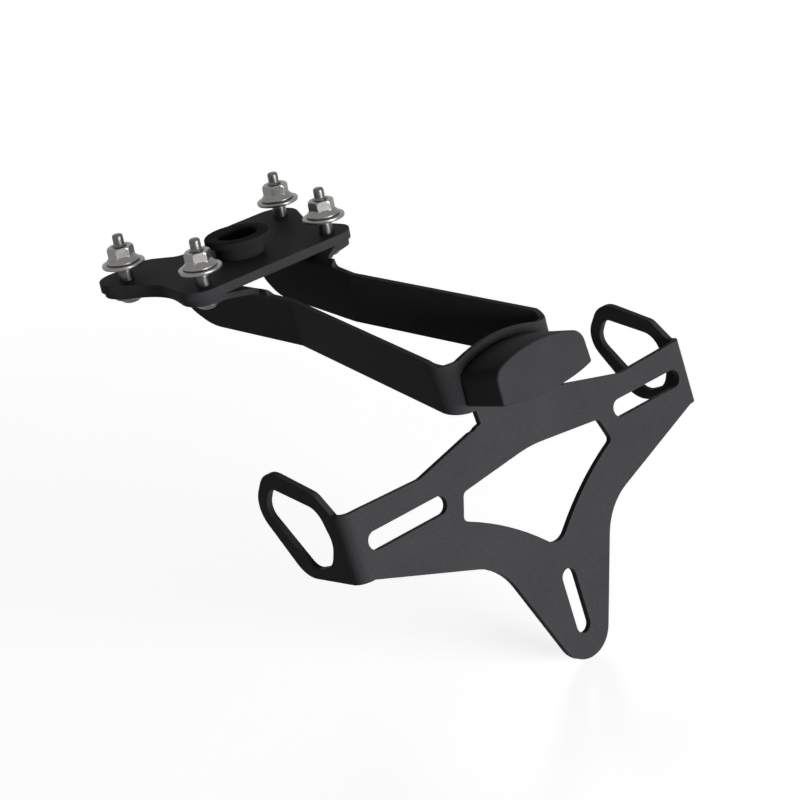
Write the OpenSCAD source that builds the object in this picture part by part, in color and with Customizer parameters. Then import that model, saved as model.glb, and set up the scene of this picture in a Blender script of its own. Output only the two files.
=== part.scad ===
// Tail tidy for a motorbike: a folded steel bracket that carries the number
// plate, the plate lamp and the indicators, hung from a plate under the seat unit.
// The origin is on the top face of the mounting plate, on the axis of the cable
// grommet. X is to the right seen from behind the bike, Y is forward, Z is up.

/* [Sheet] */
// Thickness of the folded bracket
sheet_t = 2.5; // [1.5:0.1:3]
// Outer radius of the folds of the two ears
ear_bend_r = 5.5; // [4:0.5:8]
// Outer radius of the folds between the neck and the arms
neck_bend_r = 8; // [5:0.5:9]
// Outer radius of the folds between the arms and their flanges
flange_bend_r = 5; // [3.5:0.5:5.5]

/* [Number plate face] */
// How far the face leans forward from square to the mounting plate, degrees
face_lean = 10.5; // [0:0.5:25]
// Distance from the grommet axis back to the top of the neck
neck_back = 155; // [135:1:175]
// Distance from the mounting plate's top face down to the shoulders of the neck
neck_drop = 14.3; // [10:0.5:20]
// Half width of the neck over its folds
neck_half_w = 29.7; // [29.4:0.1:30.2]
// Width over the two ears
ear_span = 184; // [170:1:200]
// Height of the wings at the ears
wing_h = 26.6; // [22:0.5:34]
// Depth of the wings' upper edge below the top of the neck
wing_top = 34.8; // [33:0.5:40]
// Depth of the bottom end below the top of the neck
leg_bottom = 133; // [120:1:150]
// Radius of the bottom end of the leg
leg_r = 13; // [9:0.5:16]
// Width of the plate slots
slot_w = 7.2; // [5:0.1:9]
// Length of the two slots in the wings
wing_slot_l = 38.7; // [20:0.1:44]
// Distance from the middle to the centre of each slot in the wings
wing_slot_x = 65; // [58:0.5:70]
// Depth of the slots in the wings below the top of the neck
wing_slot_drop = 48.3; // [47:0.1:50]
// Length of the slot in the leg
leg_slot_l = 27; // [12:0.5:30]
// Depth of the middle of the slot in the leg below the top of the neck
leg_slot_drop = 109.2; // [106:0.2:112]

/* [Ears] */
// Reach of the ears forward of the face
ear_reach = 48; // [42:0.5:56]
// Width of the rim around the opening of each ear
ear_rim = 5; // [4:0.1:6]

/* [Arms] */
// Inward turn of the arms between the neck and the crease, degrees
arm_turn = 7.9; // [6:0.1:9]
// Outward turn of the arms in front of the crease, degrees
arm_splay = 4.2; // [3:0.1:6]
// Lean of the arms, top outwards, degrees
arm_tilt = 5.1; // [3:0.1:7]
// Half distance between the arms under the grommet, at the flange folds
arm_half_gap = 20; // [19.4:0.1:21]
// Height of the arms
arm_h = 20.1; // [17:0.1:22]
// Rise of the arms toward the front, degrees
arm_rise = 4.2; // [3:0.1:5]

/* [Mounting plate] */
// Thickness of the mounting plate
plate_t = 4; // [3:0.1:6]
// Distance from the grommet axis back to the rear edge
plate_rear = 26.5; // [26:0.5:30]
// Distance from the grommet axis to the front edge
plate_front = 39.2; // [38:0.5:44]
// Half distance between the two rear bolts
rear_bolt_x = 33.5; // [31:0.5:35]
// Distance from the grommet axis back to the rear bolts
rear_bolt_back = 18; // [15:0.5:18]
// Half distance between the two front bolts
front_bolt_x = 42.5; // [39:0.5:43]
// Distance from the grommet axis forward to the front bolts
front_bolt_ahead = 25; // [24:0.5:29]

/* [Fasteners] */
// Thread diameter of the mounting bolts
bolt_d = 6; // [5:0.5:6]
// Height of the bolt ends above the mounting plate
bolt_reach = 20.2; // [18:0.2:30]
// Space left between the mounting plate and the washers for the seat unit's tray
tray_gap = 6.4; // [2:0.2:8]
// Diameter of the large washers
washer_d = 18.4; // [16:0.2:20]
// Thickness of the large washers
washer_t = 1.6; // [1:0.1:2]
// Width across the flats of the nuts
nut_af = 10; // [8:0.5:10]
// Height of the flange nuts
nut_h = 7; // [5:0.5:8]
// Diameter of the flange of the nuts
nut_flange_d = 16.4; // [13:0.2:17]
// Diameter of the flange of the bolt heads
head_flange_d = 13.4; // [12:0.2:14]

/* [Cable grommet] */
// Cable hole through the grommet
grommet_bore = 17.4; // [8:0.2:18]
// Diameter of the grommet's body
grommet_d = 21.6; // [21:0.2:23]
// Diameter of the grommet's upper lip
grommet_lip_d = 28.4; // [26:0.2:30]
// Thickness of the grommet's upper lip
grommet_lip_t = 3; // [2:0.1:4]
// Height of the grommet above the mounting plate
grommet_h = 9; // [8:0.2:14]

/* [Plate lamp] */
// Half width of the lamp
lamp_half_w = 23.5; // [22.5:0.1:24]
// Distance that the lamp stands out from the face
lamp_depth = 21.1; // [17:0.1:26]
// Wall of the lamp housing
lamp_wall = 2.2; // [1.6:0.1:2.6]
// Thickness of the gasket behind the lamp
gasket_t = 1; // [0.6:0.1:2]
// Half distance between the two lamp screws
lamp_screw_x = 14; // [12:0.5:15]
// Diameter of the lamp screws
lamp_screw_d = 4; // [3:0.5:4]

/* [Hidden] */
$fn = 96;

front_left = [-front_bolt_x, front_bolt_ahead];
front_right = [front_bolt_x, front_bolt_ahead];
rear_left = [-rear_bolt_x, -rear_bolt_back];
rear_right = [rear_bolt_x, -rear_bolt_back];
bolt_places = [front_left, front_right, rear_left, rear_right];
// A hole lets its screw or body through with this much room on the diameter
hole_room = 0.6;
// A threaded piece clears its screw by this much on the diameter
thread_room = 0.1;
// Where two parts of one solid join, one reaches into the other by this much
bite = 0.3;
// Length of a cutting tool that passes right through
through = 400;

// A unit vector at an angle
function unit(angle) = [cos(angle), sin(angle)];
function dir(a, b) = (b - a) / norm(b - a);
function side(u, v) = u.x * v.y - u.y * v.x;

// The area between two edges that leave point p along u and v, and the arc of
// radius r that runs into both. It fills an inner corner or trims an outer one.
// The arc crosses the edges by a hair, so that it never only grazes them.
module corner_piece(p, u, v, r) {
    half = acos(u * v) / 2;
    touch = r - 0.004;
    reach = touch / tan(half);
    centre = p + (u + v) / norm(u + v) * touch / sin(half);
    back = (u + v) / norm(u + v) * 0.1;
    difference() {
        polygon([p - back, p + u * reach, centre, p + v * reach]);
        translate(centre) circle(r);
    }
}

// A polygon, listed anticlockwise as [x, y, corner radius], with round corners
module rounded(corners) {
    n = len(corners);
    pts = [for (c = corners) [c.x, c.y]];
    difference() {
        union() {
            polygon(pts);
            for (i = [0:n - 1]) {
                u = dir(pts[i], pts[(i + n - 1) % n]);
                v = dir(pts[i], pts[(i + 1) % n]);
                if (corners[i].z > 0 && side(v, u) < 0)
                    corner_piece(pts[i], u, v, corners[i].z);
            }
        }
        for (i = [0:n - 1]) {
            u = dir(pts[i], pts[(i + n - 1) % n]);
            v = dir(pts[i], pts[(i + 1) % n]);
            if (corners[i].z > 0 && side(v, u) > 0)
                corner_piece(pts[i], u, v, corners[i].z);
        }
    }
}

// The right half of an outline, listed anticlockwise from the bottom, and its mirror
function both_halves(half) = concat(half,
    [for (i = [len(half) - 1:-1:0]) if (half[i].x > 0) [-half[i].x, half[i].y, half[i].z]]);

module slot(length, width) {
    for (s = [-1, 1])
        translate([s * (length - width) / 2, 0]) circle(d = width);
    square([length - width, width], center = true);
}

// Places its children in the frame of the number plate face: the origin is at the
// top of the neck, X is to the right, Y is forward and Z goes up the face
module on_face() {
    translate([0, -neck_back, -neck_drop])
        rotate([-face_lean, 0, 0])
            children();
}

// Turns a flat outline up, so that it lies in the face and grows forward from y
module upright(y, depth) {
    translate([0, y + depth, 0])
        rotate([90, 0, 0])
            linear_extrude(depth) children();
}

ear_x = ear_span / 2;
fold_x = ear_x - ear_bend_r;
wing_bottom = wing_top + wing_h;
neck_fold_x = neck_half_w - neck_bend_r;
// The arms lean, so their folds lean in the face too, and they fold by a little
// more than a right angle
fold_lean = atan(tan(arm_tilt) * cos(face_lean) - tan(arm_turn) * sin(face_lean));
fold_turn = atan(cos(fold_lean) * (tan(arm_turn) * cos(face_lean) + tan(arm_tilt) * sin(face_lean)));
// The edge of the neck's flat part at a height z
function neck_x(z) = (neck_fold_x - bite + z * sin(fold_lean)) / cos(fold_lean);
// The neck runs from its shoulders down to the notches where the arms were cut free
shoulder_z = -2;
neck_foot = -27.6;
notch_end_x = 54.1;

module leg_and_wings() {
    leg_slope = 22.8;
    leg_tip = leg_bottom + leg_r * (1 / sin(leg_slope) - 1);
    leg_top = 81.6;
    leg_top_x = (leg_tip - leg_top) * tan(leg_slope);
    rounded(both_halves([
        [0, -leg_tip, leg_r],
        [leg_top_x, -leg_top, 26],
        [fold_x - bite, -wing_bottom, 0],
        [fold_x - bite, -wing_top, 0],
        [fold_x - 2, -wing_top, 0],
        [notch_end_x, -wing_top - 0.9, 8],
        [neck_x(neck_foot), neck_foot, 0],
        [neck_x(shoulder_z), shoulder_z, 0],
        [0, 4.4, 72]]));
}

module window() {
    rounded(both_halves([
        [0, -86.7, 7.3],
        [20.1, -67.5, 124],
        [40.6, -58.3, 2],
        [36.9, -48.3, 2.5],
        [0, -44.4, 60]]));
}

module face_sheet() {
    upright(0, sheet_t)
        difference() {
            leg_and_wings();
            window();
            for (s = [-1, 1])
                translate([s * wing_slot_x, -wing_slot_drop]) slot(wing_slot_l, slot_w);
            translate([0, -leg_slot_drop]) rotate(90) slot(leg_slot_l, slot_w);
        }
}

// An ear: a loop for an indicator, folded forward from the end of the right wing
module ear() {
    bend_y = ear_bend_r + 2 * bite;
    rim_r = 6 + ear_rim;
    translate([0, 0, -wing_bottom])
        linear_extrude(wing_h)
            rounded([
                [fold_x - 2 * bite, 0, 0],
                [ear_x, 0, ear_bend_r],
                [ear_x, bend_y, 0],
                [ear_x - sheet_t, bend_y, 0],
                [ear_x - sheet_t, sheet_t, ear_bend_r - sheet_t],
                [fold_x - 2 * bite, sheet_t, 0]]);
    translate([ear_x - sheet_t, 0, 0])
        rotate([90, 0, 90])
            linear_extrude(sheet_t)
                difference() {
                    rounded([
                        [bend_y - bite, -wing_bottom, 0],
                        [bend_y, -wing_bottom, 0],
                        [ear_reach - 14, -wing_bottom + 1.4, 13],
                        [ear_reach + 5.2, -32.4, rim_r],
                        [ear_reach - 8, -16.8, rim_r],
                        [13.5, -26.4, 6],
                        [8.4, -32.2, 5],
                        [bend_y, -wing_top, 0],
                        [bend_y - bite, -wing_top, 0]]);
                    rounded([
                        [ear_reach - 20.5, -wing_bottom + 4.6, 6.6],
                        [ear_reach - 1.2, -33.3, 6],
                        [ear_reach - 8.2, -24.2, 5.5],
                        [14, -32.4, 9],
                        [10.4, -45.5, 9],
                        [15.3, -wing_bottom + 6.6, 8]]);
                }
}

// The fold at the right side of the neck and the first, straight part of the arm
module neck_fold_and_arm() {
    inner_r = neck_bend_r - sheet_t;
    corner = (1 + sin(fold_turn)) / cos(fold_turn);
    far = 130 * [-sin(fold_turn), cos(fold_turn)];
    axis = [neck_fold_x, neck_bend_r];
    arm_outer = axis + neck_bend_r * unit(fold_turn) + far;
    arm_inner = axis + inner_r * unit(fold_turn) + far;
    rotate([0, fold_lean, 0])
        translate([0, 0, -60])
            linear_extrude(140)
                rounded([
                    [neck_fold_x - 2 * bite, 0, 0],
                    [neck_fold_x + neck_bend_r * corner, 0, neck_bend_r],
                    [arm_outer.x, arm_outer.y, 0],
                    [arm_inner.x, arm_inner.y, 0],
                    [neck_fold_x + inner_r * corner, sheet_t, inner_r],
                    [neck_fold_x - 2 * bite, sheet_t, 0]]);
}

// The arm's middle plane is x = a + b y + c z before and after the crease
arm_c = tan(arm_tilt);
rear_b = -tan(arm_turn);
front_b = tan(arm_splay);
front_a = arm_half_gap + arm_c * (plate_t + flange_bend_r);
rear_a = ((neck_fold_x + (neck_bend_r * (1 + sin(fold_turn)) - sheet_t / 2) / cos(fold_turn))
    / cos(fold_lean)) + rear_b * neck_back + arm_c * neck_drop;
// The crease is where the two planes meet, this far forward of the grommet
crease_y = (rear_a - front_a) / (front_b - rear_b);
crease_top = -plate_t - sheet_t - 1.8;
function edge_z(y, z) = z + (y - crease_y) * tan(arm_rise);
arm_front_y = 20;

// The outline of the arm seen from the side, as [forward, up]
module arm_side() {
    rear_y = -neck_back - 8;
    low = crease_top - arm_h;
    rounded([
        [rear_y, edge_z(rear_y, low), 0],
        [crease_y, low, 60],
        [3, low + 2.4, 24],
        [13.5, low + 8.4, 16],
        [arm_front_y, low + 17, 0],
        [arm_front_y, crease_top + 1, 0],
        [plate_front + 5, crease_top + 1, 0],
        [plate_front + 5, plate_t, 0],
        [-37, plate_t, 0],
        [-40, crease_top + 1, 2],
        [crease_y, crease_top, 60],
        [rear_y, edge_z(rear_y, crease_top), 0]]);
}

// Stands the arm's side outline up across the right half of the bracket
module across() {
    rotate([90, 0, 90]) linear_extrude(100) children();
}

// Everything behind the crease, seen from the side
module behind_crease(overlap) {
    translate([-200, -60]) square([200 + crease_y + overlap, 100]);
}

// The front part of the arm with its flange, folded from one strip
module front_angle() {
    inner_r = flange_bend_r - sheet_t;
    axis_x = arm_half_gap + (inner_r + sheet_t / 2) / cos(arm_tilt);
    corner = (1 - sin(arm_tilt)) / cos(arm_tilt);
    low = -40;
    low_x = low * tan(arm_tilt);
    rotate(-arm_splay)
        translate([axis_x * cos(arm_splay), 90, -plate_t - flange_bend_r])
            rotate([90, 0, 0])
                linear_extrude(180)
                    rounded([
                        [low_x - inner_r / cos(arm_tilt), low, 0],
                        [-inner_r * corner, inner_r, inner_r],
                        [60, inner_r, 0],
                        [60, flange_bend_r, 0],
                        [-flange_bend_r * corner, flange_bend_r, flange_bend_r],
                        [low_x - flange_bend_r / cos(arm_tilt), low, 0]]);
}

plate_corners = both_halves([
    [0, -plate_rear, 0],
    [rear_bolt_x + 13, -plate_rear, 10],
    [41, 4, 24],
    [front_bolt_x + 16.5, plate_front, 10.5],
    [22, plate_front, 6],
    [13.5, 27, 6],
    [0, 27, 0]]);

// The flange and the arm's strip seen from above, on the right side
module flange_outline() {
    rounded([
        [5, crease_y - 10, 0],
        [19, crease_y - 10, 0],
        [19, -35, 0],
        [30, -plate_rear, 8],
        [rear_bolt_x + 13, -plate_rear, 10],
        [37.5, 4, 24],
        [front_bolt_x + 16.5, plate_front, 10.5],
        [31, plate_front, 8],
        [24.5, arm_front_y, 8],
        [5, arm_front_y, 0]]);
}

module rear_arm() {
    intersection() {
        on_face() neck_fold_and_arm();
        across()
            intersection() {
                arm_side();
                behind_crease(bite);
            }
    }
}

module front_arm() {
    intersection() {
        front_angle();
        across()
            difference() {
                arm_side();
                behind_crease(0);
            }
        translate([0, 0, -60]) linear_extrude(60) flange_outline();
    }
}

// The top of the neck's fold runs level from the shoulder, then up to the arm
module shoulder_cut() {
    on_face()
        rotate([90, 0, 90])
            linear_extrude(100)
                polygon([[-1, shoulder_z], [4, shoulder_z], [8.4, 0.6], [8.4, 9], [-1, 9]]);
}

module arm_and_flange() {
    difference() {
        union() {
            rear_arm();
            front_arm();
        }
        shoulder_cut();
    }
}

// The relief under each arm, where the sheet was cut free before it was folded
module relief_notch() {
    notch_r = 3.2;
    translate([24.5, -25.8]) {
        circle(notch_r);
        translate([0, -notch_r]) square([12, 2 * notch_r]);
    }
}

module bracket_half() {
    on_face() ear();
    arm_and_flange();
}

module bracket() {
    color([0.09, 0.09, 0.1])
        difference() {
            union() {
                on_face() face_sheet();
                bracket_half();
                mirror([1, 0, 0]) bracket_half();
            }
            on_face()
                for (s = [0, 1])
                    mirror([s, 0, 0]) upright(-1, 14) relief_notch();
            on_face() {
                lamp_screw_holes(lamp_screw_d + hole_room, -1, sheet_t + 2);
                upright(-1, sheet_t + 2) translate([0, -cable_hole_drop]) circle(d = 7);
            }
            for (p = bolt_places)
                translate([p.x, p.y, -plate_t - sheet_t - 1])
                    cylinder(d = bolt_d + hole_room, h = sheet_t + 2);
        }
}

module mounting_plate() {
    color([0.07, 0.07, 0.07])
        difference() {
            translate([0, 0, -plate_t]) linear_extrude(plate_t) rounded(plate_corners);
            translate([0, 0, -plate_t - 1]) cylinder(d = grommet_d, h = plate_t + 2);
            for (p = bolt_places)
                translate([p.x, p.y, -plate_t - 1])
                    cylinder(d = bolt_d + hole_room, h = plate_t + 2);
        }
}

// The rubber grommet is one turned shape: an upper lip over the tray, a body that
// fills the hole of the mounting plate, and a lower lip that holds it there
module cable_grommet() {
    color([0.06, 0.06, 0.06])
        rotate_extrude()
            rounded([
                [grommet_bore / 2, -plate_t - 2.4, 0.8],
                [grommet_d / 2 + 2.6, -plate_t - 2.4, 1],
                [grommet_d / 2 + 2.6, -plate_t - 0.1, 0.5],
                [grommet_d / 2 - 0.1, -plate_t - 0.1, 0],
                [grommet_d / 2 - 0.1, grommet_h - grommet_lip_t, 0.6],
                [grommet_lip_d / 2, grommet_h - grommet_lip_t, 0.8],
                [grommet_lip_d / 2, grommet_h, 1],
                [grommet_bore / 2, grommet_h, 0.8]]);
}

// A button head bolt with a flange under its head, pushed up from below
module bolt(place) {
    head_z = -plate_t - sheet_t;
    flange_t = 1.2;
    color([0.62, 0.62, 0.62])
        translate([place.x, place.y, head_z])
            difference() {
                rotate_extrude()
                    rounded([
                        [0, -3.3, 0],
                        [3, -3.3, 1.5],
                        [5, -flange_t - 0.4, 1.2],
                        [head_flange_d / 2, -flange_t, 0.4],
                        [head_flange_d / 2, 0, 0.3],
                        [bolt_d / 2, 0, 0],
                        [bolt_d / 2, bolt_reach - head_z, 0.7],
                        [0, bolt_reach - head_z, 0]]);
                translate([0, 0, -4]) cylinder(d = 4.6, h = 3, $fn = 6);
            }
}

module washer(place) {
    color([0.6, 0.6, 0.6])
        translate([place.x, place.y, tray_gap])
            difference() {
                cylinder(d = washer_d, h = washer_t);
                translate([0, 0, -1]) cylinder(d = bolt_d + hole_room, h = washer_t + 2);
            }
}

// A hexagon nut on a conical flange
module nut(place) {
    flange_t = 1.4;
    cone_t = 1.6;
    color([0.58, 0.58, 0.58])
        translate([place.x, place.y, tray_gap + washer_t])
            difference() {
                union() {
                    cylinder(d = nut_flange_d, h = flange_t);
                    translate([0, 0, flange_t])
                        cylinder(d1 = nut_flange_d, d2 = nut_af, h = cone_t);
                    intersection() {
                        cylinder(d = nut_af / cos(30), h = nut_h, $fn = 6);
                        rotate_extrude()
                            rounded([[0, 0, 0], [nut_af, 0, 0], [nut_af, nut_h - 2, 0],
                                [nut_af * 0.46, nut_h, 0], [0, nut_h, 0]]);
                    }
                }
                translate([0, 0, -1]) cylinder(d = bolt_d + thread_room, h = nut_h + 2);
            }
}

// The two screws and the cable hole of the lamp lie this far below the neck's top
lamp_screw_drop = 8.8;
cable_hole_drop = 12.4;
board_z = -14.8;

// The outline of the lamp seen from behind, inset by a wall
function lamp_corners(inset) = both_halves([
    [0, -24.84 + inset, 92],
    [lamp_half_w - inset, -19.5 + inset, 1.2],
    [lamp_half_w - 0.6 - inset, -6.85 - inset * 0.75, 1.6],
    [0, 2.4 - inset, 56]]);

module lamp_screw_holes(d, y, depth) {
    for (s = [-1, 1])
        upright(y, depth) translate([s * lamp_screw_x, -lamp_screw_drop]) circle(d = d);
}

// The opening in the lower wall of the lamp, with room all round by an amount
module lamp_window(room) {
    translate([-15 - room, -lamp_depth + 4.5 - room, -30])
        cube([30 + 2 * room, lamp_depth - 9.5 + 2 * room, 16]);
}

module lamp_shell() {
    difference() {
        upright(-lamp_depth, lamp_depth - gasket_t) rounded(lamp_corners(0));
        upright(-lamp_depth + lamp_wall, lamp_depth) rounded(lamp_corners(lamp_wall));
    }
}

module lamp_housing() {
    color([0.08, 0.08, 0.09])
        on_face()
            difference() {
                union() {
                    lamp_shell();
                    lamp_screw_holes(7, -lamp_depth + lamp_wall - bite, lamp_depth - lamp_wall - gasket_t + bite);
                    for (s = [-1, 1])
                        translate([s * (lamp_half_w - lamp_wall - 0.7), -lamp_depth / 2 - 0.5, board_z - 1])
                            cube([1.6, lamp_depth - 8, 2], center = true);
                }
                lamp_window(0.15);
                lamp_screw_holes(lamp_screw_d + thread_room, -lamp_depth + 6, lamp_depth);
            }
}

module lamp_lens() {
    color([0.9, 0.93, 0.95, 0.5])
        on_face()
            intersection() {
                lamp_shell();
                lamp_window(0);
            }
}

module lamp_gasket() {
    color([0.05, 0.05, 0.05])
        on_face()
            difference() {
                upright(-gasket_t, gasket_t) rounded(lamp_corners(0.4));
                upright(-gasket_t - 1, gasket_t + 2)
                    translate([0, -cable_hole_drop]) slot(16, 9);
                lamp_screw_holes(lamp_screw_d + hole_room, -gasket_t - 1, gasket_t + 2);
            }
}

// A small board with three light-emitting chips that face the lens
module lamp_circuit_board() {
    half_w = lamp_half_w - lamp_wall - 0.6;
    color([0.1, 0.3, 0.16])
        on_face() {
            translate([-half_w, -lamp_depth + lamp_wall + 1.2, board_z])
                cube([2 * half_w, lamp_depth - lamp_wall - 4.2, 1.4]);
            for (x = [-8, 0, 8])
                translate([x, -lamp_depth / 2 - 0.5, board_z - 0.45]) cube([3, 3, 1], center = true);
        }
}

module lamp_screw(s) {
    color([0.5, 0.5, 0.5])
        on_face()
            translate([s * lamp_screw_x, sheet_t, -lamp_screw_drop])
                rotate([90, 0, 0])
                    difference() {
                        rotate_extrude()
                            rounded([
                                [0, -2.4, 0],
                                [lamp_screw_d, -2.4, 1],
                                [lamp_screw_d, 0, 0],
                                [lamp_screw_d / 2, 0, 0],
                                [lamp_screw_d / 2, 12, 0.4],
                                [0, 12, 0]]);
                        translate([0, 0, -3]) cylinder(d = 2.9, h = 2, $fn = 6);
                    }
}

bracket();
mounting_plate();
cable_grommet();
bolt(front_left);  // bolt_front_left
bolt(front_right);  // bolt_front_right
bolt(rear_left);  // bolt_rear_left
bolt(rear_right);  // bolt_rear_right
washer(front_left);  // washer_front_left
washer(front_right);  // washer_front_right
washer(rear_left);  // washer_rear_left
washer(rear_right);  // washer_rear_right
nut(front_left);  // nut_front_left
nut(front_right);  // nut_front_right
nut(rear_left);  // nut_rear_left
nut(rear_right);  // nut_rear_right
lamp_housing();
lamp_lens();
lamp_gasket();
lamp_circuit_board();
lamp_screw(-1);  // lamp_screw_left
lamp_screw(1);  // lamp_screw_right
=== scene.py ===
import math
import bpy
import bmesh
from mathutils import Matrix, Vector


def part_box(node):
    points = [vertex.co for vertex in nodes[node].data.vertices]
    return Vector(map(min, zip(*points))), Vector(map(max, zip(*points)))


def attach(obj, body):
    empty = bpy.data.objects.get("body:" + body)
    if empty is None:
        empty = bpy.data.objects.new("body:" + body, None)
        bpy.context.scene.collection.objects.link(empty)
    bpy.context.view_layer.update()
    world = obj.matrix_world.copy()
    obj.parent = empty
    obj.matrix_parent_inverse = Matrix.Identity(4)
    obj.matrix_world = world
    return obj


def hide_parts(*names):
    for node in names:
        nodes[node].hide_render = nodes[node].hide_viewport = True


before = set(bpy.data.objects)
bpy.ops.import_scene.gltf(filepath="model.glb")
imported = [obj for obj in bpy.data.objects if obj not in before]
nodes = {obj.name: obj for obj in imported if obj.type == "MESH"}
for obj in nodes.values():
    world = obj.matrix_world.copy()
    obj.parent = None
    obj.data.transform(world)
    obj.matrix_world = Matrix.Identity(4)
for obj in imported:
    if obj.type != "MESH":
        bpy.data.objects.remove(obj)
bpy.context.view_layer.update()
print("frame loaded:", len(nodes), "nodes")

# camera, as the photograph was taken
camera = {
    "place": (-0.50245, -0.73193, 0.26282),
    "right": (0.73258, -0.65810, -0.17389),
    "up": (0.36494, 0.16409, 0.91646),
    "back": (-0.57458, -0.73484, 0.36037),
    "lens": 97.28,
    "sensor": 36.0,
}

cameraData = bpy.data.cameras.new("camera")
cameraData.lens = camera["lens"]
cameraData.sensor_width = camera["sensor"]
cameraData.clip_start = 0.01
cameraData.clip_end = 50
cameraObject = bpy.data.objects.new("camera", cameraData)
bpy.context.scene.collection.objects.link(cameraObject)
turn = Matrix((camera["right"], camera["up"], camera["back"])).transposed()
cameraObject.matrix_world = Matrix.Translation(camera["place"]) @ turn.to_4x4()
bpy.context.scene.camera = cameraObject
print("camera set")


# shader maths: a wire is a socket, and each sign between wires adds a Math node
class Wire:
    def __init__(self, finish, socket):
        self.finish = finish
        self.socket = socket

    def maths(self, operation, first, second=None):
        values = {0: first}
        if second is not None:
            values[1] = second
        return self.finish.node("ShaderNodeMath", {"operation": operation}, values)

    def __add__(self, other):
        return self.maths("ADD", self, other)

    def __radd__(self, other):
        return self.maths("ADD", other, self)

    def __sub__(self, other):
        return self.maths("SUBTRACT", self, other)

    def __rsub__(self, other):
        return self.maths("SUBTRACT", other, self)

    def __mul__(self, other):
        return self.maths("MULTIPLY", self, other)

    def __rmul__(self, other):
        return self.maths("MULTIPLY", other, self)

    def __truediv__(self, other):
        return self.maths("DIVIDE", self, other)

    def __pow__(self, other):
        return self.maths("POWER", self, other)

    def clamped(self):
        node = self.finish.node("ShaderNodeClamp", {}, {0: self})
        return node

    def absolute(self):
        return self.maths("ABSOLUTE", self)


# a finish is one material while it is being made
class Finish:
    def __init__(self, name):
        self.material = bpy.data.materials.new(name)
        self.material.use_nodes = True
        self.tree = self.material.node_tree
        self.shader = self.tree.nodes["Principled BSDF"]
        self.output = self.tree.nodes["Material Output"]

    def node(self, kind, settings=None, values=None, out=0):
        node = self.tree.nodes.new(kind)
        for name, value in (settings or {}).items():
            if name == "stops":
                ramp = node.color_ramp.elements
                while len(ramp) < len(value):
                    ramp.new(0.5)
                for stop, (place, shade) in zip(ramp, value):
                    stop.position = place
                    stop.color = (shade, shade, shade, 1)
            else:
                setattr(node, name, value)
        for key, value in (values or {}).items():
            self.plug(value, node.inputs[key])
        return Wire(self, node.outputs[out])

    def plug(self, value, socket):
        if isinstance(value, Wire):
            self.tree.links.new(value.socket, socket)
        else:
            socket.default_value = value

    def shade(self, **sockets):
        for name, value in sockets.items():
            self.plug(value, self.shader.inputs[name.replace("_", " ")])
        return self.material

    def place(self, scale=1.0, centre=(0, 0, 0)):
        spot = self.node("ShaderNodeTexCoord", out=3)
        return self.node("ShaderNodeMapping", {"vector_type": "POINT"},
                         {"Vector": spot, "Location": tuple(-scale * c for c in centre), "Scale": (scale,) * 3})

    def noise(self, spot, scale, detail=2.0, roughness=0.5):
        return self.node("ShaderNodeTexNoise", {"noise_dimensions": "3D"},
                         {"Vector": spot, "Scale": scale, "Detail": detail, "Roughness": roughness})

    def ramp(self, value, stops):
        return self.node("ShaderNodeValToRGB", {"stops": stops}, {"Fac": value})

    def blend(self, factor, dark, light):
        return self.node("ShaderNodeMix", {"data_type": "RGBA"},
                         {0: factor, 6: (*dark, 1), 7: (*light, 1)}, out=2)

    def blendWires(self, factor, first, second):
        return self.node("ShaderNodeMix", {"data_type": "RGBA"}, {0: factor, 6: first, 7: second}, out=2)

    def edge(self, radius):
        # how much a rounded edge turns away from the flat face beside it
        rounded = self.node("ShaderNodeBevel", {"samples": 6}, {"Radius": radius})
        true = self.node("ShaderNodeNewGeometry", out=3)
        same = self.node("ShaderNodeVectorMath", {"operation": "DOT_PRODUCT"},
                         {0: rounded, 1: true}, out=1)
        return rounded, (1 - same).clamped()

    def bump(self, height, strength, distance, normal=None):
        values = {"Height": height, "Strength": strength, "Distance": distance}
        if normal is not None:
            values["Normal"] = normal
        return self.node("ShaderNodeBump", {}, values)


# satin black powder coat, with its fine orange peel and a painted highlight along its rounded edges, broken up in
# patches
powderCoat = {
    "dark": (0.024, 0.024, 0.0255),
    "light": (0.048, 0.048, 0.052),
    # paler colour painted on rounded edges as a highlight
    "paintedEdgeTone": (0.085, 0.085, 0.088),
    "roughness": (0.45, 0.62),
    "grain": 2600.0,
    "edgeRadius": 0.0004,
}


def makePowderCoat(name, settings, grainDepth):
    finish = Finish(name)
    spot = finish.place()
    grain = finish.noise(spot, settings["grain"], 2, 0.6)
    cloud = finish.noise(spot, 45, 3, 0.55)
    rounded, edge = finish.edge(settings["edgeRadius"])
    speck = finish.ramp(grain, [(0.38, 0.0), (0.72, 1.0)])
    tone = (0.55 * speck + 0.45 * cloud).clamped()
    coat = finish.blend(tone, settings["dark"], settings["light"])
    # painted highlight: rounded edges blended towards the paler colour in noisy patches
    paintedEdgeHighlight = (edge * 2.2 * finish.ramp(finish.noise(spot, 240, 3), [(0.35, 0.15), (0.65, 1.0)])).clamped()
    paintedEdgeTone = finish.blend(0.0, settings["paintedEdgeTone"], settings["paintedEdgeTone"])
    colour = finish.blendWires(paintedEdgeHighlight * 0.55, coat, paintedEdgeTone)
    low, high = settings["roughness"]
    roughness = low + (high - low) * (0.5 * cloud + 0.5 * grain)
    normal = finish.bump(grain, grainDepth, 0.00008, rounded)
    return finish.shade(Base_Color=colour, Roughness=roughness, Normal=normal,
                        Specular_IOR_Level=0.015)


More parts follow.
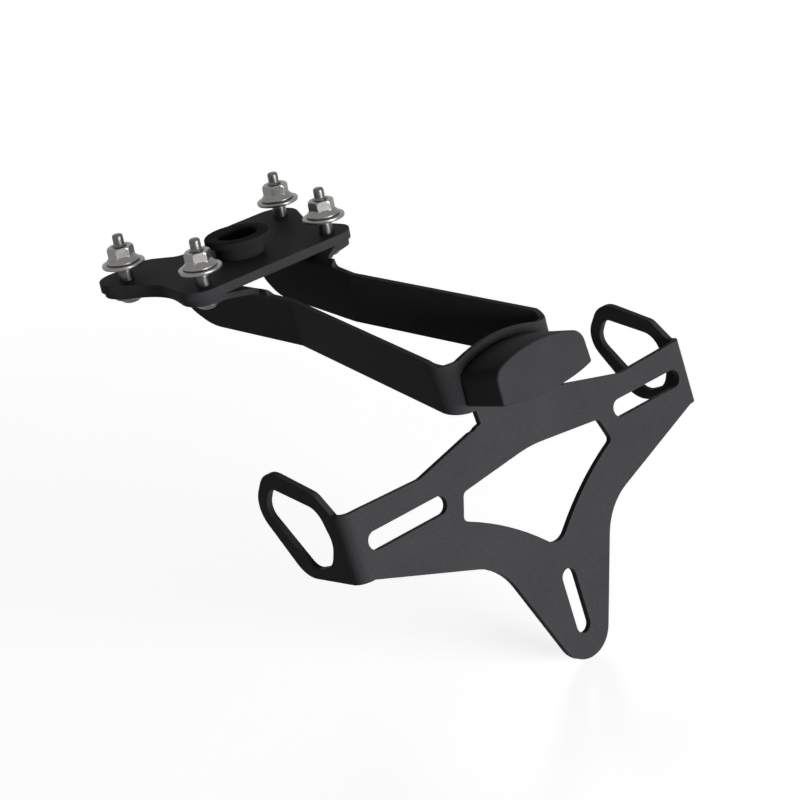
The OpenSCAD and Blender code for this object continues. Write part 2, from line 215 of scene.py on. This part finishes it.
# soft black rubber, dusty in its pores
def makeRubber(name):
    finish = Finish(name)
    spot = finish.place()
    pore = finish.noise(spot, 1500, 3, 0.6)
    cloud = finish.noise(spot, 120, 3, 0.6)
    rounded, edge = finish.edge(0.0003)
    tone = (0.4 * pore + 0.6 * cloud).clamped()
    colour = finish.blend(tone, (0.008, 0.008, 0.008), (0.024, 0.024, 0.025))
    roughness = 0.62 + 0.2 * pore
    normal = finish.bump(pore, 0.35, 0.00006, rounded)
    return finish.shade(Base_Color=colour, Roughness=roughness, Normal=normal, Specular_IOR_Level=0.012)


# brushed stainless fasteners, with a painted highlight on their rounded edges
def makeStainless(name, shade, roughness, centre=None):
    finish = Finish(name)
    spot = finish.place()
    cloud = finish.noise(spot, 160, 4, 0.6)
    fine = finish.noise(spot, 2400, 2, 0.5)
    rounded, edge = finish.edge(0.00025)
    # painted highlight: rounded edges blended towards a bright colour
    paintedEdgeHighlight = (edge * 2.5).clamped()
    tone = (0.65 * cloud + 0.35 * fine).clamped()
    metal = finish.blend(tone, tuple(0.72 * s for s in shade), shade)
    bright = finish.blend(0.0, (0.50, 0.49, 0.475), (0.50, 0.49, 0.475))
    colour = finish.blendWires(paintedEdgeHighlight * 0.6, metal, bright)
    rough = roughness + 0.16 * (cloud - 0.5) + 0.08 * fine
    normal = finish.bump(fine, 0.12, 0.00003, rounded)
    return finish.shade(Base_Color=colour, Roughness=rough, Normal=normal, Metallic=1.0)


# moulded black lamp plastic with a fine spark texture and a painted highlight along its rounded edges
def makeLampPlastic(name):
    finish = Finish(name)
    spot = finish.place()
    spark = finish.noise(spot, 3000, 2, 0.6)
    cloud = finish.noise(spot, 60, 3, 0.5)
    rounded, edge = finish.edge(0.0006)
    tone = (0.5 * spark + 0.5 * cloud).clamped()
    plastic = finish.blend(tone, (0.022, 0.022, 0.0235), (0.040, 0.040, 0.043))
    # painted highlight: rounded edges blended towards a paler grey
    pale = finish.blend(0.0, (0.07, 0.07, 0.072), (0.07, 0.07, 0.072))
    colour = finish.blendWires((edge * 1.4).clamped() * 0.5, plastic, pale)
    roughness = 0.46 + 0.14 * cloud
    normal = finish.bump(spark, 0.3, 0.00006, rounded)
    return finish.shade(Base_Color=colour, Roughness=roughness, Normal=normal, Specular_IOR_Level=0.015)


# clear acrylic lens with faint ribs moulded across it
def makeLens(name):
    finish = Finish(name)
    spot = finish.place()
    ribs = finish.node("ShaderNodeTexWave", {"wave_type": "BANDS", "bands_direction": "X", "wave_profile": "SIN"},
                       {"Vector": spot, "Scale": 160.0, "Distortion": 0.0})
    haze = finish.noise(spot, 90, 3, 0.6)
    colour = finish.blend(haze, (0.90, 0.92, 0.93), (0.96, 0.97, 0.98))
    normal = finish.bump(ribs, 0.5, 0.0002)
    return finish.shade(Base_Color=colour, Roughness=0.06 + 0.08 * haze, Normal=normal,
                        Transmission_Weight=0.9, IOR=1.49)


# green solder mask over copper tracks
def makeBoard(name):
    finish = Finish(name)
    spot = finish.place()
    tracks = finish.node("ShaderNodeTexBrick", {"offset": 0.5, "squash": 1.0},
                         {"Vector": spot, "Scale": 260.0, "Mortar Size": 0.05, "Brick Width": 1.3,
                          "Row Height": 0.35}, out=1)
    cloud = finish.noise(spot, 300, 2, 0.5)
    mask = finish.blend(cloud, (0.012, 0.085, 0.030), (0.020, 0.120, 0.045))
    track = finish.blend(0.0, (0.030, 0.180, 0.065), (0.030, 0.180, 0.065))
    colour = finish.blendWires(tracks, mask, track)
    normal = finish.bump(tracks, 0.4, 0.00004)
    return finish.shade(Base_Color=colour, Roughness=0.35 + 0.1 * cloud, Normal=normal)


coatFace = makePowderCoat("powder_coat", powderCoat, 0.55)
rubber = makeRubber("rubber")
# bolts and lamp screws get a darker copy of the stainless, its colour lowered as painted shade on the bolt
# shanks; nuts and washers get the brighter copy
stainless = makeStainless("stainless", (0.10, 0.098, 0.096), 0.30)
stainlessDark = makeStainless("stainless_nut", (0.21, 0.207, 0.20), 0.32)
lampPlastic = makeLampPlastic("lamp_plastic")
clearLens = makeLens("clear_lens")
boardGreen = makeBoard("circuit_board")
print("finishes made")


def dress(node, material):
    mesh = nodes[node].data
    mesh.materials.clear()
    mesh.materials.append(material)


for node, material in (("bracket", coatFace), ("mounting_plate", coatFace),
                       ("lamp_lens", clearLens), ("lamp_gasket", rubber),
                       ("lamp_circuit_board", boardGreen),
                       ("lamp_screw_left", stainless), ("lamp_screw_right", stainless)):
    dress(node, material)


# turns a mesh in progress into a piece of the object
def finishPiece(mesh, name, material, standsFor, sharp=32):
    bmesh.ops.recalc_face_normals(mesh, faces=mesh.faces[:])
    data = bpy.data.meshes.new(name)
    mesh.to_mesh(data)
    mesh.free()
    for face in data.polygons:
        face.use_smooth = True
    data.set_sharp_from_angle(angle=math.radians(sharp))
    data.materials.append(material)
    piece = bpy.data.objects.new(name, data)
    bpy.context.scene.collection.objects.link(piece)
    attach(piece, "root")
    if standsFor:
        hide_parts(*standsFor)
    return piece


# spins a profile of (radius, height) points about an upright axis
def lathe(mesh, profile, steps, closed=False):
    start = len(mesh.verts)
    points = [mesh.verts.new((radius, 0, height)) for radius, height in profile]
    pairs = list(zip(points, points[1:]))
    if closed:
        pairs.append((points[-1], points[0]))
    edges = [mesh.edges.new(pair) for pair in pairs]
    bmesh.ops.spin(mesh, geom=points + edges, cent=(0, 0, 0), axis=(0, 0, 1),
                   angle=2 * math.pi, steps=steps, use_merge=True, use_duplicate=False)
    mesh.verts.ensure_lookup_table()
    made = mesh.verts[start:]
    bmesh.ops.remove_doubles(mesh, verts=made, dist=1e-7)
    return mesh


def move(mesh, place):
    bmesh.ops.translate(mesh, vec=place, verts=mesh.verts[:])


def roundEdges(mesh, width, segments, least=25):
    edges = [e for e in mesh.edges if e.is_manifold and e.calc_face_angle(0) > math.radians(least)]
    bmesh.ops.bevel(mesh, geom=edges, offset=width, offset_type="OFFSET", affect="EDGES",
                    segments=segments, profile=0.5, material=-1, clamp_overlap=True)


bolt = {
    "radius": 0.003,
    "root": 0.00272,
    "pilot": 0.00232,
    "pilotFrom": 0.0156,
    "pitch": 0.001,
    "steps": 40,
    "top": 0.0160,
    "end": 0.0202,
    "threadFrom": 0.004,
    "seat": -0.0065,
    "headFlange": 0.0067,
    "headHeight": 0.0033,
    "socket": 0.00265,
    "tip": 0.0008,
}


def makeBolt(name, x, y):
    settings = bolt
    mesh = bmesh.new()
    pitch = settings["pitch"]
    low = settings["threadFrom"] - 2 * pitch
    turns = int((settings["top"] - low) / pitch) + 3
    profile = []
    for i in range(turns):
        base = low + i * pitch
        profile += [(settings["root"], base), (settings["root"], base + 0.15 * pitch),
                    (settings["radius"], base + 0.52 * pitch), (settings["radius"], base + 0.63 * pitch)]
    points = [mesh.verts.new((radius, 0, height)) for radius, height in profile]
    edges = [mesh.edges.new(pair) for pair in zip(points, points[1:])]
    bmesh.ops.spin(mesh, geom=points + edges, cent=(0, 0, 0), axis=(0, 0, 1),
                   dvec=(0, 0, pitch / settings["steps"]), angle=2 * math.pi,
                   steps=settings["steps"], use_merge=False, use_duplicate=False)
    bmesh.ops.remove_doubles(mesh, verts=mesh.verts[:], dist=2e-6)
    for height, side in ((settings["top"], 1), (settings["threadFrom"], -1)):
        cut = bmesh.ops.bisect_plane(mesh, geom=mesh.verts[:] + mesh.edges[:] + mesh.faces[:],
                                     plane_co=(0, 0, height), plane_no=(0, 0, side), clear_outer=True)
        rim = [e for e in cut["geom_cut"] if isinstance(e, bmesh.types.BMEdge)]
        bmesh.ops.edgeloop_fill(mesh, edges=rim)
    for vert in mesh.verts:  # a chamfer at the end of the thread
        room = settings["radius"] - max(0, vert.co.z - settings["top"] + settings["tip"]) * 0.9
        out = math.hypot(vert.co.x, vert.co.y)
        if out > room:
            vert.co.x *= room / out
            vert.co.y *= room / out
    pilot, end = settings["pilot"], settings["end"]
    lathe(mesh, [(0, settings["pilotFrom"]), (pilot, settings["pilotFrom"]), (pilot, end - 0.0012),
                 (pilot - 0.00008, end - 0.0007), (pilot - 0.0003, end - 0.0003), (pilot - 0.0007, end - 0.00006),
                 (pilot - 0.0011, end), (0, end)], 48)
    seat = settings["seat"]
    lathe(mesh, [(0, settings["threadFrom"] + 0.0002), (settings["radius"], settings["threadFrom"] + 0.0002),
                 (settings["radius"], seat), (settings["headFlange"] - 0.0003, seat),
                 (settings["headFlange"], seat - 0.0003), (settings["headFlange"], seat - 0.0009),
                 (settings["headFlange"] - 0.0004, seat - 0.0012), (0.0050, seat - 0.0014),
                 (0.0047, seat - 0.0019), (0.0041, seat - 0.0026), (0.0034, seat - 0.0031),
                 (0.0029, seat - 0.0033), (settings["socket"], seat - 0.0032)], 48)
    mesh.verts.ensure_lookup_table()
    # the hexagon socket is pushed up into the head
    ring = bmesh.ops.create_circle(mesh, segments=6, radius=settings["socket"],
                                   matrix=Matrix.Translation((0, 0, seat - 0.0031)))["verts"]
    rim = [e for e in mesh.edges if all(v in ring for v in e.verts)]
    walls = bmesh.ops.extrude_edge_only(mesh, edges=rim)["geom"]
    deep = [g for g in walls if isinstance(g, bmesh.types.BMVert)]
    bmesh.ops.translate(mesh, vec=(0, 0, 0.0021), verts=deep)
    floor = [g for g in walls if isinstance(g, bmesh.types.BMEdge) and all(v in deep for v in g.verts)]
    bmesh.ops.edgeloop_fill(mesh, edges=floor)
    mouth = [e for e in mesh.edges if e.is_boundary]
    bmesh.ops.bridge_loops(mesh, edges=mouth)
    move(mesh, (x, y, 0))
    return finishPiece(mesh, name + "_threaded", stainless, [name], 40)


washer = {"radius": 0.0092, "hole": 0.0033, "low": 0.0064, "high": 0.0080, "soft": 0.0005}


def makeWasher(name, x, y):
    settings = washer
    soft = settings["soft"]
    mesh = bmesh.new()
    lathe(mesh, [(settings["hole"], settings["low"]), (settings["radius"], settings["low"]),
                 (settings["radius"], settings["high"]), (settings["hole"], settings["high"])], 72, True)
    roundEdges(mesh, soft, 3, 60)
    move(mesh, (x, y, 0))
    return finishPiece(mesh, name + "_pressed", stainlessDark, [name], 50)


nut = {
    "flange": 0.0073,
    "low": 0.0080,
    "flangeThick": 0.0011,
    "coneThick": 0.0019,
    "flats": 0.0100,
    "height": 0.0070,
    "bore": 0.00305,
    "chamfer": 0.0006,
}


def makeNut(name, x, y, turn):
    settings = nut
    low = settings["low"]
    corner = settings["flats"] / 2 / math.cos(math.radians(30))
    mesh = bmesh.new()
    # the flange and its cone, open at the bore
    lathe(mesh, [(settings["bore"], low), (settings["flange"] - 0.0003, low),
                 (settings["flange"], low + 0.0003), (settings["flange"], low + settings["flangeThick"] - 0.0003),
                 (settings["flange"] - 0.0003, low + settings["flangeThick"]),
                 (settings["flats"] / 2 + 0.0002, low + settings["flangeThick"] + settings["coneThick"]),
                 (settings["bore"], low + settings["flangeThick"] + settings["coneThick"])], 72, True)
    # the hexagon stands on the flange, its top corners turned down to a circle
    bottom, top = low + 0.0010, low + settings["height"]
    segments = 72
    ring = bmesh.ops.create_circle(mesh, segments=segments, radius=corner,
                                   matrix=Matrix.Translation((0, 0, bottom)))["verts"]
    for vert in ring:  # a circle pressed flat on six sides
        angle = math.atan2(vert.co.y, vert.co.x)
        off = (angle + math.radians(30)) % math.radians(60) - math.radians(30)
        reach = settings["flats"] / 2 / math.cos(off)
        vert.co.x, vert.co.y = reach * math.cos(angle), reach * math.sin(angle)
    edges = [e for e in mesh.edges if all(v in ring for v in e.verts)]
    levels = [(top - 0.0016, 0), (top - 0.0011, 1), (top - 0.0006, 2), (top - 0.0002, 3), (top, 4)]
    limits = [corner, corner, corner - 0.00015, corner - 0.0004, corner - 0.0009]
    for height, index in levels:
        made = bmesh.ops.extrude_edge_only(mesh, edges=edges)["geom"]
        ring = [g for g in made if isinstance(g, bmesh.types.BMVert)]
        edges = [g for g in made if isinstance(g, bmesh.types.BMEdge) and all(v in ring for v in g.verts)]
        for vert in ring:
            vert.co.z = height
            out = math.hypot(vert.co.x, vert.co.y)
            if out > limits[index]:
                vert.co.x *= limits[index] / out
                vert.co.y *= limits[index] / out
    made = bmesh.ops.extrude_edge_only(mesh, edges=edges)["geom"]
    ring = [g for g in made if isinstance(g, bmesh.types.BMVert)]
    edges = [g for g in made if isinstance(g, bmesh.types.BMEdge) and all(v in ring for v in g.verts)]
    for vert in ring:  # the countersink
        out = math.hypot(vert.co.x, vert.co.y)
        vert.co.x *= (settings["bore"] + 0.0004) / out
        vert.co.y *= (settings["bore"] + 0.0004) / out
    for radius, height in ((settings["bore"], top - 0.0004), (settings["bore"], bottom)):
        made = bmesh.ops.extrude_edge_only(mesh, edges=edges)["geom"]
        ring = [g for g in made if isinstance(g, bmesh.types.BMVert)]
        edges = [g for g in made if isinstance(g, bmesh.types.BMEdge) and all(v in ring for v in g.verts)]
        for vert in ring:
            out = math.hypot(vert.co.x, vert.co.y)
            vert.co.x *= radius / out
            vert.co.y *= radius / out
            vert.co.z = height
    outer = [e for e in mesh.edges if e.is_boundary]
    bmesh.ops.bridge_loops(mesh, edges=outer)
    bmesh.ops.rotate(mesh, cent=(0, 0, 0), matrix=Matrix.Rotation(turn, 3, "Z"), verts=mesh.verts[:])
    move(mesh, (x, y, 0))
    return finishPiece(mesh, name + "_forged", stainlessDark, [name], 28)


for place in ("front_left", "front_right", "rear_left", "rear_right"):
    low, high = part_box("washer_" + place)
    x, y = (low.x + high.x) / 2, (low.y + high.y) / 2
    makeBolt("bolt_" + place, x, y)
    makeWasher("washer_" + place, x, y)
    makeNut("nut_" + place, x, y, math.radians(4))
print("fasteners made")

grommet = {"bore": 0.0087, "body": 0.0107, "lip": 0.0142, "lipThick": 0.0030, "top": 0.0090,
           "lowLip": 0.0134, "bottom": -0.0064, "plate": -0.0041}


def makeGrommet():
    settings = grommet
    mesh = bmesh.new()
    lathe(mesh, [(settings["bore"], settings["bottom"]), (settings["lowLip"], settings["bottom"]),
                 (settings["lowLip"], settings["plate"]), (settings["body"], settings["plate"]),
                 (settings["body"], settings["top"] - settings["lipThick"]),
                 (settings["lip"], settings["top"] - settings["lipThick"]),
                 (settings["lip"], settings["top"]), (settings["bore"], settings["top"])], 96, True)
    roundEdges(mesh, 0.0007, 4, 60)
    return finishPiece(mesh, "grommet_rubber", rubber, ["cable_grommet"], 50)


makeGrommet()
print("grommet made")

lamp = {
    # corners of the front, across and up from the top of the neck, and how far each is rounded back
    "corners": ((0, -0.02484, 0.0205), (0.0235, -0.0195, 0.0010), (0.0229, -0.00685, 0.0036),
                (0, 0.0021, 0.0205), (-0.0229, -0.00685, 0.0036), (-0.0235, -0.0195, 0.0010)),
    "front": -0.0211,
    "back": -0.0010,
    "wall": 0.0022,
    "rimRound": 0.0008,
    "lean": math.radians(10.5),
    "neck": (0, -0.155, -0.0143),
    "windowLow": (-0.01515, -0.01675, -0.030),
    "windowHigh": (0.01515, -0.00485, -0.014),
    "screwAcross": 0.014,
    "screwUp": -0.0088,
}


def cutWindow(piece, low, high):
    # cuts the lens opening out of the lower wall with a box
    mesh = bmesh.new()
    bmesh.ops.create_cube(mesh, size=1.0)
    bmesh.ops.scale(mesh, vec=Vector(high) - Vector(low), verts=mesh.verts[:])
    bmesh.ops.translate(mesh, vec=(Vector(high) + Vector(low)) / 2, verts=mesh.verts[:])
    data = bpy.data.meshes.new("window")
    mesh.to_mesh(data)
    mesh.free()
    cutter = bpy.data.objects.new("window", data)
    bpy.context.scene.collection.objects.link(cutter)
    cut = piece.modifiers.new("window", "BOOLEAN")
    cut.operation = "DIFFERENCE"
    cut.solver = "EXACT"
    cut.object = cutter
    bpy.context.view_layer.update()
    made = bpy.data.meshes.new_from_object(piece.evaluated_get(bpy.context.evaluated_depsgraph_get()))
    piece.modifiers.clear()
    bpy.data.objects.remove(cutter)
    return made


def makeLamp():
    settings = lamp
    front, back = settings["front"], settings["back"]
    mesh = bmesh.new()
    points = [mesh.verts.new((x, front, up)) for x, up, soft in settings["corners"]]
    mesh.faces.new(points)
    for point, (x, up, soft) in zip(points, settings["corners"]):
        bmesh.ops.bevel(mesh, geom=[point], offset=soft, offset_type="OFFSET", affect="VERTICES",
                        segments=28 if x == 0 else 8, profile=0.5, material=-1, clamp_overlap=True)
    grown = bmesh.ops.extrude_face_region(mesh, geom=mesh.faces[:])["geom"]
    rear = [g for g in grown if isinstance(g, bmesh.types.BMVert)]
    bmesh.ops.translate(mesh, vec=(0, back - front, 0), verts=rear)
    bmesh.ops.recalc_face_normals(mesh, faces=mesh.faces[:])
    mesh.faces.ensure_lookup_table()
    backFace = max(mesh.faces, key=lambda f: f.calc_center_median().y)
    bmesh.ops.inset_region(mesh, faces=[backFace], thickness=settings["wall"], use_even_offset=True)
    hollow = bmesh.ops.extrude_face_region(mesh, geom=[backFace])["geom"]
    deep = [g for g in hollow if isinstance(g, bmesh.types.BMVert)]
    bmesh.ops.translate(mesh, vec=(0, front - back + settings["wall"], 0), verts=deep)
    if backFace.is_valid:
        bmesh.ops.delete(mesh, geom=[backFace], context="FACES_ONLY")
    rim = [e for e in mesh.edges if all(abs(v.co.y - front) < 1e-6 for v in e.verts)]
    bmesh.ops.bevel(mesh, geom=rim, offset=settings["rimRound"], offset_type="OFFSET", affect="EDGES",
                    segments=4, profile=0.5, material=-1, clamp_overlap=True)
    bmesh.ops.recalc_face_normals(mesh, faces=mesh.faces[:])
    data = bpy.data.meshes.new("shell")
    mesh.to_mesh(data)
    mesh.free()
    shell = bpy.data.objects.new("shell", data)
    bpy.context.scene.collection.objects.link(shell)
    cut = cutWindow(shell, settings["windowLow"], settings["windowHigh"])
    bpy.data.objects.remove(shell)
    mesh = bmesh.new()
    mesh.from_mesh(cut)
    for side in (-1, 1):  # the two bosses that take the screws
        where = Matrix.Translation((side * settings["screwAcross"], (front + back + settings["wall"]) / 2,
                                    settings["screwUp"])) @ Matrix.Rotation(math.radians(90), 4, "X")
        bmesh.ops.create_cone(mesh, cap_ends=True, segments=32, radius1=0.0035, radius2=0.0035,
                              depth=back - front - settings["wall"] - 0.0002, matrix=where)
    bmesh.ops.rotate(mesh, cent=(0, 0, 0), matrix=Matrix.Rotation(-settings["lean"], 3, "X"),
                     verts=mesh.verts[:])
    move(mesh, settings["neck"])
    return finishPiece(mesh, "lamp_moulding", lampPlastic, ["lamp_housing"], 30)


makeLamp()
print("lamp made")

# pale floor under the part, and soft studio light from behind the number plate
floor = {"height": -0.1462, "size": 6.0, "tone": (0.70, 0.70, 0.705), "glow": 0.75}


def makeFloor():
    settings = floor
    mesh = bmesh.new()
    bmesh.ops.create_grid(mesh, x_segments=1, y_segments=1, size=settings["size"],
                          matrix=Matrix.Translation((0, 0, settings["height"])))
    data = bpy.data.meshes.new("floor")
    mesh.to_mesh(data)
    mesh.free()
    piece = bpy.data.objects.new("floor", data)
    bpy.context.scene.collection.objects.link(piece)
    finish = Finish("floor")
    spot = finish.place()
    cloud = finish.noise(spot, 3, 2, 0.5)
    colour = finish.blend(cloud, tuple(0.99 * t for t in settings["tone"]), settings["tone"])
    finish.shade(Base_Color=colour, Roughness=0.25, Specular_IOR_Level=0.3)
    path = finish.node("ShaderNodeLightPath")
    seen = Wire(finish, path.socket.node.outputs["Is Camera Ray"])
    glossy = Wire(finish, path.socket.node.outputs["Is Glossy Ray"])
    through = Wire(finish, path.socket.node.outputs["Is Transmission Ray"])
    white = finish.node("ShaderNodeEmission", {}, {"Color": (1, 1, 1, 1), "Strength": settings["glow"]})
    lit = finish.node("ShaderNodeAddShader", {}, {0: Wire(finish, finish.shader.outputs[0]), 1: white})
    factor = (seen + glossy + through).clamped()
    mixed = finish.node("ShaderNodeMixShader", {}, {0: factor})
    tree = finish.tree
    tree.links.new(finish.shader.outputs[0], mixed.socket.node.inputs[1])
    tree.links.new(lit.socket, mixed.socket.node.inputs[2])
    tree.links.new(mixed.socket, finish.output.inputs["Surface"])
    data.materials.append(finish.material)


makeFloor()

lights = {
    "rear": {"place": (0.12, -1.50, 0.05), "aim": (0, -0.12, -0.06), "size": 0.9, "height": 0.34, "power": 31.0},
    "top": {"place": (-0.1, 0.1, 1.6), "aim": (0, -0.05, 0), "size": 1.6, "height": 1.6, "power": 0.6},
    "left": {"place": (-1.2, -0.5, 0.9), "aim": (0, -0.05, 0), "size": 0.7, "height": 0.7, "power": 0.3},
}


def makeLight(name, settings):
    data = bpy.data.lights.new(name, "AREA")
    data.shape = "RECTANGLE"
    data.size = settings["size"]
    data.size_y = settings["height"]
    data.energy = settings["power"]
    light = bpy.data.objects.new(name, data)
    bpy.context.scene.collection.objects.link(light)
    place = Vector(settings["place"])
    aim = Vector(settings["aim"]) - place
    light.matrix_world = Matrix.Translation(place) @ aim.to_track_quat("-Z", "Y").to_matrix().to_4x4()


for name, settings in lights.items():
    makeLight(name + "_light", settings)


def makeWorld(strength):
    world = bpy.data.worlds.new("studio")
    world.use_nodes = True
    bpy.context.scene.world = world
    tree = world.node_tree
    back = tree.nodes["Background"]
    output = tree.nodes["World Output"]
    back.inputs["Color"].default_value = (1, 1, 1, 1)
    back.inputs["Strength"].default_value = strength
    white = tree.nodes.new("ShaderNodeBackground")
    white.inputs["Color"].default_value = (1, 1, 1, 1)
    white.inputs["Strength"].default_value = 1.0
    path = tree.nodes.new("ShaderNodeLightPath")
    total = path.outputs["Is Camera Ray"]
    for other in ("Is Glossy Ray", "Is Transmission Ray"):
        join = tree.nodes.new("ShaderNodeMath")
        join.operation = "MAXIMUM"
        tree.links.new(total, join.inputs[0])
        tree.links.new(path.outputs[other], join.inputs[1])
        total = join.outputs[0]
    mixed = tree.nodes.new("ShaderNodeMixShader")
    tree.links.new(total, mixed.inputs[0])
    tree.links.new(back.outputs[0], mixed.inputs[1])
    tree.links.new(white.outputs[0], mixed.inputs[2])
    tree.links.new(mixed.outputs[0], output.inputs["Surface"])


makeWorld(0.03)
bpy.context.scene.view_settings.view_transform = "Standard"
print("stage and lights set")
